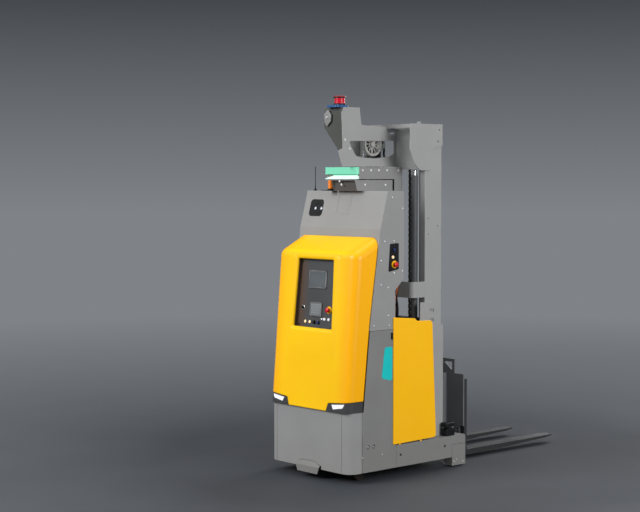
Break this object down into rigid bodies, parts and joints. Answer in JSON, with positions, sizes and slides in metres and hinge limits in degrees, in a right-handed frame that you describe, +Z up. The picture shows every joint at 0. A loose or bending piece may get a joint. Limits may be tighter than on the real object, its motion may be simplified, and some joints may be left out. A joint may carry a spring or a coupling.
{
  "type": "automated forklift",
  "caption": "Automated reach-type forklift with support arms, a two-stage mast, L-shaped forks, a moulded hood with a control panel and a rotating navigation head",
  "frame": {"origin": "on the floor under the middle of the bounding box", "axes": "+Z up, +Y from the control panel towards the fork tips, +X to the truck's right side as seen from the control panel, where the console plate and the guard band are"},
  "size_m": [1.0586, 2.805, 3.1313],
  "materials": {
    "grey_paint": "powder coated, satin",
    "black_paint": "satin paint",
    "yellow_shell": "moulded, gloss",
    "yellow_paint": "powder coated",
    "dark_plastic": "moulded",
    "clear": "polished",
    "green_band": "translucent",
    "steel": "turned",
    "battery_case": "acid proof paint",
    "tyre": "polyurethane tread",
    "red": "gloss",
    "yellow_trim": "gloss",
    "black_trim": "moulded",
    "blue_trim": "gloss",
    "cable": "sleeved cable"
  },
  "bodies": {
    "chassis": {"arm_scanners": "dark_plastic", "battery": "battery_case", "battery_covers": "yellow_paint", "cabinet": "grey_paint", "camera_window": "dark_plastic", "chain_anchor_runs": "steel", "chassis_frame": "black_paint", "console_arm": "grey_paint", "control_panel": "grey_paint", "corner_covers": "grey_paint", "display": "dark_plastic", "front_plate": "grey_paint", "headlamp_lenses": "clear", "hood": "yellow_shell", "indicator_lamps": "yellow_trim", "lift_cylinders": "black_paint", "light_band": "green_band", "light_housings": "dark_plastic", "load_arms": "grey_paint", "mast_brackets": "grey_paint", "mast_head": "grey_paint", "outer_crossmembers": "grey_paint", "outer_uprights": "grey_paint", "power_pack": "black_paint", "roof_fittings": "dark_plastic", "scanner_base": "dark_plastic", "scanner_tower": "grey_paint", "sensor_box": "grey_paint", "side_control_plates": "dark_plastic", "side_walls": "grey_paint", "stop_collars": "yellow_trim", "tow_flap": "black_paint", "wheel_housings": "grey_paint", "wiring_harness": "cable"},
    "steered_drive": {"drive_unit": "black_paint"},
    "drive_wheel": {"drive_wheel": "tyre"},
    "castor_right": {"castor_fork_right": "black_paint"},
    "castor_left": {"castor_fork_left": "black_paint"},
    "castor_wheels_right": {"castor_wheels_right": "tyre"},
    "castor_wheels_left": {"castor_wheels_left": "tyre"},
    "load_wheel_right": {"load_wheel_right": "tyre"},
    "load_wheel_left": {"load_wheel_left": "tyre"},
    "inner_mast": {"inner_uprights": "black_paint", "inner_crossmembers": "black_paint", "lift_rods": "steel", "chain_wraps": "steel", "chain_load_runs": "steel"},
    "pulleys": {"chain_pulleys": "steel"},
    "carriage": {"carriage_frame": "black_paint", "fork_plate": "black_paint", "forks": "black_paint"},
    "scanner_head": {"scanner_head": "red"},
    "key": {"key_switch": "black_trim"},
    "front_stop": {"front_stop": "red"},
    "side_stop_right": {"side_stop_right": "red"},
    "side_stop_left": {"side_stop_left": "red"},
    "front_button_grey": {"front_button_grey": "black_trim"},
    "front_button_blue": {"front_button_blue": "blue_trim"},
    "side_button_right": {"side_button_right": "blue_trim"},
    "side_button_left": {"side_button_left": "blue_trim"}
  },
  "joints": [
    {"name": "steering", "type": "hinge", "parent": "chassis", "child": "steered_drive", "pos_m": [0, -1.0845, 0.25], "axis": [0, 0, 1], "range_deg": [-90, 90]},
    {"name": "drive_wheel_spin", "type": "hinge", "parent": "steered_drive", "child": "drive_wheel", "pos_m": [0, -1.0845, 0.115], "axis": [1, 0, 0], "continuous": true},
    {"name": "castor_swivel_right", "type": "hinge", "parent": "chassis", "child": "castor_right", "pos_m": [0.33, -1.1185, 0.18], "axis": [0, 0, 1], "continuous": true},
    {"name": "castor_swivel_left", "type": "hinge", "parent": "chassis", "child": "castor_left", "pos_m": [-0.33, -1.1185, 0.18], "axis": [0, 0, 1], "continuous": true},
    {"name": "castor_spin_right", "type": "hinge", "parent": "castor_right", "child": "castor_wheels_right", "pos_m": [0.33, -1.1585, 0.065], "axis": [1, 0, 0], "continuous": true},
    {"name": "castor_spin_left", "type": "hinge", "parent": "castor_left", "child": "castor_wheels_left", "pos_m": [-0.33, -1.1585, 0.065], "axis": [1, 0, 0], "continuous": true},
    {"name": "load_wheel_spin_right", "type": "hinge", "parent": "chassis", "child": "load_wheel_right", "pos_m": [0.4475, -0.11, 0.065], "axis": [1, 0, 0], "continuous": true},
    {"name": "load_wheel_spin_left", "type": "hinge", "parent": "chassis", "child": "load_wheel_left", "pos_m": [-0.4475, -0.11, 0.065], "axis": [1, 0, 0], "continuous": true},
    {"name": "mast_lift", "type": "slide", "parent": "chassis", "child": "inner_mast", "axis": [0, 0, 1], "range_m": [0, 2], "deforming": ["chain_anchor_runs"]},
    {"name": "carriage_lift", "type": "slide", "parent": "inner_mast", "child": "carriage", "axis": [0, 0, 1], "range_m": [0, 2], "deforming": ["chain_load_runs"]},
    {"name": "pulley_spin", "type": "hinge", "parent": "inner_mast", "child": "pulleys", "pos_m": [0, -0.3745, 2.765], "axis": [1, 0, 0], "range_deg": [0, 1520]},
    {"name": "scanner_spin", "type": "hinge", "parent": "chassis", "child": "scanner_head", "pos_m": [0, -1.0395, 3.08], "axis": [0, 0, 1], "continuous": true},
    {"name": "key_turn", "type": "hinge", "parent": "chassis", "child": "key", "pos_m": [-0.165, -1.29543, 1.38704], "axis": [0, 0.9968, -0.0798], "range_deg": [0, 90]},
    {"name": "front_stop_press", "type": "slide", "parent": "chassis", "child": "front_stop", "axis": [0, 0.9968, -0.0798], "range_m": [0, 0.006]},
    {"name": "side_stop_press_right", "type": "slide", "parent": "chassis", "child": "side_stop_right", "axis": [-1, 0, 0], "range_m": [0, 0.006]},
    {"name": "side_stop_press_left", "type": "slide", "parent": "chassis", "child": "side_stop_left", "axis": [1, 0, 0], "range_m": [0, 0.006]},
    {"name": "front_grey_press", "type": "slide", "parent": "chassis", "child": "front_button_grey", "axis": [0, 0.9968, -0.0798], "range_m": [0, 0.005], "stiffness_N_per_m": 400, "springref_m": -0.005},
    {"name": "front_blue_press", "type": "slide", "parent": "chassis", "child": "front_button_blue", "axis": [0, 0.9968, -0.0798], "range_m": [0, 0.005], "stiffness_N_per_m": 400, "springref_m": -0.005},
    {"name": "side_blue_press_right", "type": "slide", "parent": "chassis", "child": "side_button_right", "axis": [-1, 0, 0], "range_m": [0, 0.005], "stiffness_N_per_m": 400, "springref_m": -0.005},
    {"name": "side_blue_press_left", "type": "slide", "parent": "chassis", "child": "side_button_left", "axis": [1, 0, 0], "range_m": [0, 0.005], "stiffness_N_per_m": 400, "springref_m": -0.005}
  ],
  "couplings": [
    {"joint": "carriage_lift", "follows": "mast_lift", "ratio": 1},
    {"joint": "pulley_spin", "follows": "mast_lift", "rad_per_m": 13.106}
  ]
}
